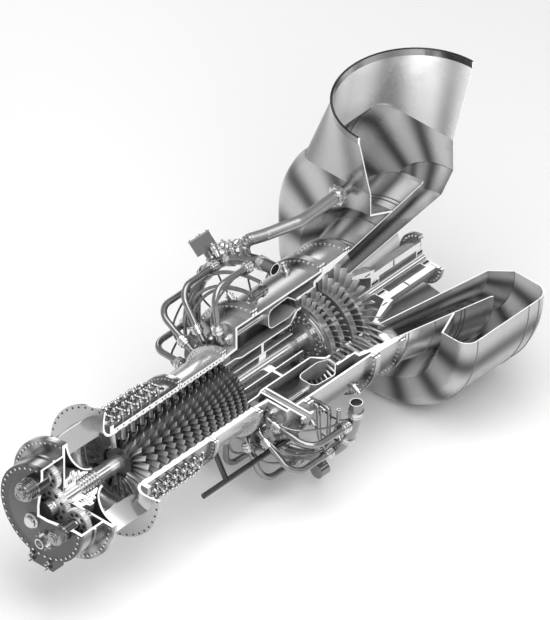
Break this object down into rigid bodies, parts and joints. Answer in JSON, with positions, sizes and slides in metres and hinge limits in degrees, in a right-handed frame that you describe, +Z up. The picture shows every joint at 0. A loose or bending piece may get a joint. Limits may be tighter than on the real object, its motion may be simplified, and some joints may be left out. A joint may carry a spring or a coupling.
{
  "type": "sectioned gas turbine",
  "caption": "Cutaway two-shaft industrial gas turbine: gearbox, axial compressor, annular combustor, turbines and exhaust collector, with turning rotors",
  "frame": {"origin": "centre of the output-end flange face of the rear bearing housing, on the rotor axis", "axes": "+X along the rotor axis from the gearbox to the output end, +Z up, the cut-away quarter on the -Y side"},
  "size_m": [5.921, 2.38, 3.0298],
  "materials": {
    "polished_sheet": "bright sheet steel",
    "machined_steel": "machined steel, white on the section faces",
    "blade_steel": "satin blade steel",
    "shaft_steel": "ground steel",
    "cast_metal": "cast alloy",
    "pipe_steel": "drawn stainless pipe"
  },
  "bodies": {
    "casing": {"bleed_duct": "pipe_steel", "bleed_valve": "cast_metal", "centre_bearing_housing": "machined_steel", "collector_front_cone": "polished_sheet", "collector_shell": "polished_sheet", "combustor_case": "machined_steel", "combustor_liner": "machined_steel", "compressor_case_front": "machined_steel", "compressor_case_rear": "machined_steel", "cover_studs": "machined_steel", "diffuser_case": "machined_steel", "diffuser_inner_wall": "polished_sheet", "diffuser_outer_wall": "polished_sheet", "diffuser_struts": "machined_steel", "drain_pipe": "pipe_steel", "exhaust_struts": "polished_sheet", "feed_pipes": "pipe_steel", "front_bearing_housing": "machined_steel", "fuel_injectors": "machined_steel", "gas_generator_nozzles": "blade_steel", "gearbox_case": "cast_metal", "gearbox_cover": "cast_metal", "inlet_front_wall": "polished_sheet", "inlet_rear_wall": "polished_sheet", "inlet_struts": "polished_sheet", "inner_case": "machined_steel", "lube_pump": "cast_metal", "outlet_duct": "polished_sheet", "outlet_rim": "polished_sheet", "pilot_ring": "pipe_steel", "power_turbine_nozzles": "blade_steel", "rear_bearing_housing": "machined_steel", "ring_manifold": "pipe_steel", "round_valve": "cast_metal", "service_strut": "machined_steel", "starter": "cast_metal", "stator_vanes_front": "blade_steel", "stator_vanes_rear": "blade_steel", "turbine_case": "machined_steel", "unison_rings": "machined_steel"},
    "gas_generator_rotor": {"compressor_rotor_front": "blade_steel", "compressor_rotor_middle": "blade_steel", "compressor_rotor_rear": "blade_steel", "gas_generator_shaft": "shaft_steel", "seal_sleeve": "shaft_steel", "bull_gear": "shaft_steel", "gas_generator_wheel_1": "blade_steel", "gas_generator_wheel_2": "blade_steel"},
    "power_turbine_rotor": {"power_wheel_1": "blade_steel", "power_wheel_2": "blade_steel", "output_shaft": "shaft_steel"},
    "starter_drive": {"starter_gear": "shaft_steel"},
    "pump_drive": {"pump_gear": "shaft_steel"}
  },
  "joints": [
    {"name": "gas_generator_spin", "type": "hinge", "parent": "casing", "child": "gas_generator_rotor", "pos_m": [-4, 0, 0], "axis": [1, 0, 0], "continuous": true},
    {"name": "power_turbine_spin", "type": "hinge", "parent": "casing", "child": "power_turbine_rotor", "pos_m": [-0.5, 0, 0], "axis": [1, 0, 0], "continuous": true},
    {"name": "starter_gear_spin", "type": "hinge", "parent": "casing", "child": "starter_drive", "pos_m": [-4.865, 0.07609, 0.28398], "axis": [1, 0, 0], "continuous": true},
    {"name": "pump_gear_spin", "type": "hinge", "parent": "casing", "child": "pump_drive", "pos_m": [-4.865, -0.29148, -0.03837], "axis": [1, 0, 0], "continuous": true}
  ],
  "couplings": [
    {"joint": "starter_gear_spin", "follows": "gas_generator_spin", "ratio": -1.3333},
    {"joint": "pump_gear_spin", "follows": "gas_generator_spin", "ratio": -1.3333}
  ]
}
